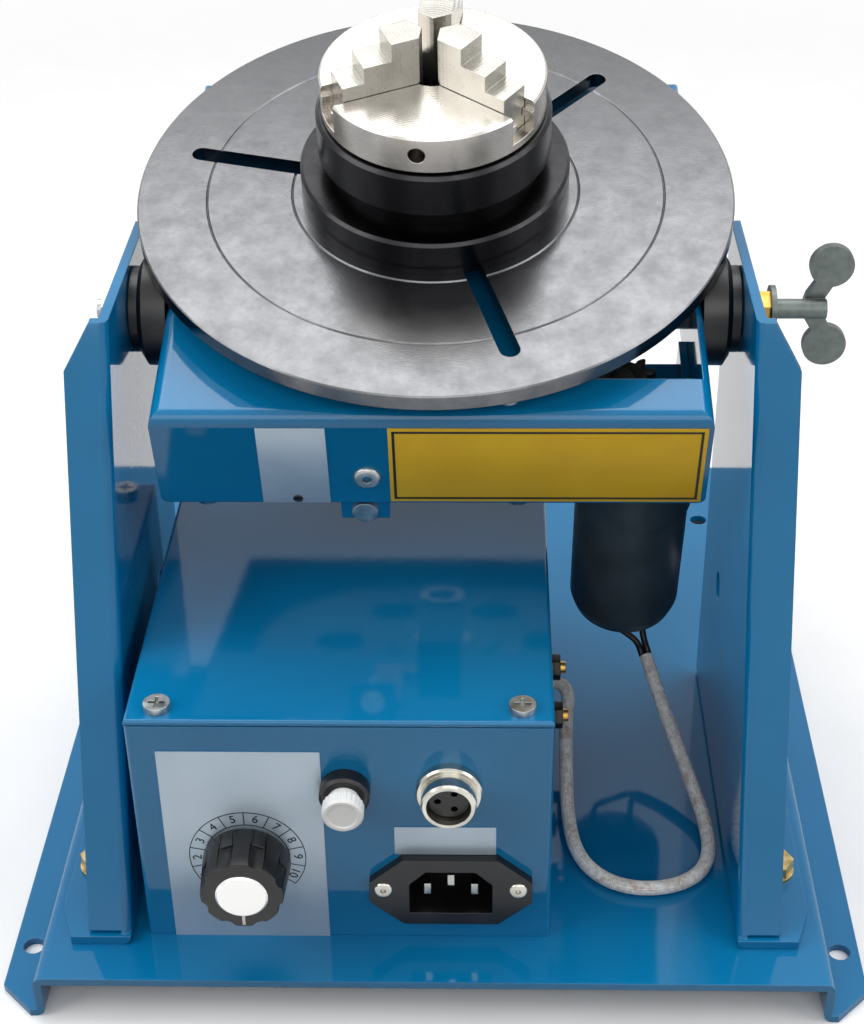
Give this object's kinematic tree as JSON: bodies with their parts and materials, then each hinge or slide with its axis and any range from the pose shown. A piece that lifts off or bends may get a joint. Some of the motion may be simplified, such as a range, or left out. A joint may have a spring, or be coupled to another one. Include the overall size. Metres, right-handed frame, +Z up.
{
  "type": "welding positioner",
  "caption": "Bench welding positioner: a motor-driven slotted table with a self-centring chuck, tilting between uprights above a control box on a raised base plate.",
  "frame": {"origin": "middle of the base's footprint, on the bench", "axes": "+Z up, +X to the right seen from the control panel, +Y away from it"},
  "size_m": [0.261, 0.292, 0.265],
  "materials": {
    "blue_enamel": "glossy baked enamel",
    "black_oxide_steel": "turned, then blackened",
    "bright_steel": "ground and turned bright",
    "zinc_steel": "zinc plated",
    "yellow_zinc": "yellow passivated zinc",
    "brass": "turned",
    "bearing_steel": "ground",
    "gear_steel": "hobbed, oiled",
    "motor_black": "satin black",
    "black_plastic": "moulded, low gloss",
    "white_plastic": "moulded",
    "spun_aluminium": "spun",
    "nickel": "nickel plated",
    "glass_braid": "woven glass-fibre sleeve",
    "wire_rubber": "extruded",
    "carbon": "pressed",
    "copper": "rolled",
    "board_green": "varnished laminate",
    "transformer_iron": "varnished stack"
  },
  "bodies": {
    "base": {"base_plate": "blue_enamel", "upright_left": "blue_enamel", "upright_right": "blue_enamel", "foot_bolts": "yellow_zinc", "foot_nuts": "zinc_steel", "control_box": "blue_enamel", "box_lid": "blue_enamel", "lid_screws": "zinc_steel", "power_inlet": "black_plastic", "inlet_pins": "nickel", "inlet_screws": "zinc_steel", "socket_shell": "nickel", "socket_insert": "black_plastic", "button_collar": "black_plastic", "button_spring": "zinc_steel", "potentiometer": "black_plastic", "terminal_studs": "brass", "transformer": "transformer_iron", "speed_board": "board_green", "lead_gland": "black_plastic", "motor_lead": "glass_braid", "motor_wires": "wire_rubber", "pivot_washer": "zinc_steel"},
    "cradle": {"cradle": "blue_enamel", "motor_bridge": "blue_enamel", "motor_gearbox": "motor_black", "motor_can": "motor_black", "motor_screws": "zinc_steel", "bearing_housing": "gear_steel", "bearing_ring_and_balls": "bearing_steel", "housing_screws": "zinc_steel", "brush_holder": "black_plastic", "carbon_brush": "carbon", "earth_strap_bar": "copper", "earth_bolt": "zinc_steel", "bush_left": "black_plastic", "bush_right": "black_plastic", "pivot_bolt": "zinc_steel", "pivot_lock_nut": "zinc_steel", "clamp_weld_nut": "zinc_steel"},
    "table": {"spindle": "bright_steel", "bearing_inner_ring": "bearing_steel", "table_gear": "gear_steel", "round_table": "black_oxide_steel", "chuck_hub": "black_oxide_steel", "chuck_back_plate": "black_oxide_steel", "chuck_body": "bright_steel"},
    "motor_drive": {"drive_pinion": "gear_steel", "motor_shaft": "bright_steel"},
    "scroll": {"scroll_ring": "black_oxide_steel"},
    "jaw_1": {"chuck_jaw_1": "bright_steel"},
    "jaw_2": {"chuck_jaw_2": "bright_steel"},
    "jaw_3": {"chuck_jaw_3": "bright_steel"},
    "clamp": {"clamp_washer": "black_oxide_steel"},
    "wings": {"wing_screw": "zinc_steel", "clamp_brass_nut": "brass"},
    "knob": {"speed_knob": "black_plastic", "knob_cap": "spun_aluminium", "knob_shaft": "bright_steel"},
    "button": {"button_cap": "white_plastic"}
  },
  "joints": [
    {"name": "table_tilt", "type": "hinge", "parent": "base", "child": "cradle", "pos_m": [0, -0.026, 0.1756], "axis": [1, 0, 0], "range_deg": [-15.7, 74.3], "deforming": ["motor_lead", "motor_wires"]},
    {"name": "table_spin", "type": "hinge", "parent": "cradle", "child": "table", "pos_m": [0, -0.0048, 0.20587], "axis": [0, -0.2706, 0.9627], "continuous": true},
    {"name": "motor_spin", "type": "hinge", "parent": "cradle", "child": "motor_drive", "pos_m": [0.05591, -0.04659, 0.16981], "axis": [0, -0.2706, 0.9627], "continuous": true},
    {"name": "scroll_turn", "type": "hinge", "parent": "table", "child": "scroll", "pos_m": [0, -0.00921, 0.22156], "axis": [0, -0.2706, 0.9627], "range_deg": [-135, 945]},
    {"name": "jaw_1_slide", "type": "slide", "parent": "table", "child": "jaw_1", "axis": [0.1219, 0.9555, 0.2686], "range_m": [-0.00151, 0.01051]},
    {"name": "jaw_2_slide", "type": "slide", "parent": "table", "child": "jaw_2", "axis": [-0.9205, -0.3762, -0.1057], "range_m": [-0.00151, 0.01051]},
    {"name": "jaw_3_slide", "type": "slide", "parent": "table", "child": "jaw_3", "axis": [0.7986, -0.5794, -0.1629], "range_m": [-0.00151, 0.01051]},
    {"name": "clamp_slide", "type": "slide", "parent": "cradle", "child": "clamp", "axis": [1, 0, 0], "range_m": [0, 0.0015]},
    {"name": "wing_turn", "type": "hinge", "parent": "clamp", "child": "wings", "pos_m": [0.12, -0.026, 0.1756], "axis": [1, 0, 0], "range_deg": [0, 540.5]},
    {"name": "knob_turn", "type": "hinge", "parent": "base", "child": "knob", "pos_m": [-0.0542, -0.127, 0.0473], "axis": [0, 1, 0], "range_deg": [-150, 150]},
    {"name": "button_press", "type": "slide", "parent": "base", "child": "button", "axis": [0, 1, 0], "range_m": [0, 0.0025], "stiffness_N_per_m": 300, "springref_m": -0.002, "deforming": ["button_spring"]}
  ],
  "couplings": [
    {"joint": "motor_spin", "follows": "table_spin", "ratio": -7.3333},
    {"joint": "jaw_1_slide", "follows": "scroll_turn", "m_per_rad": 0.00063662},
    {"joint": "jaw_2_slide", "follows": "scroll_turn", "m_per_rad": 0.00063662},
    {"joint": "jaw_3_slide", "follows": "scroll_turn", "m_per_rad": 0.00063662},
    {"joint": "wing_turn", "follows": "clamp_slide", "rad_per_m": 6283.2}
  ]
}
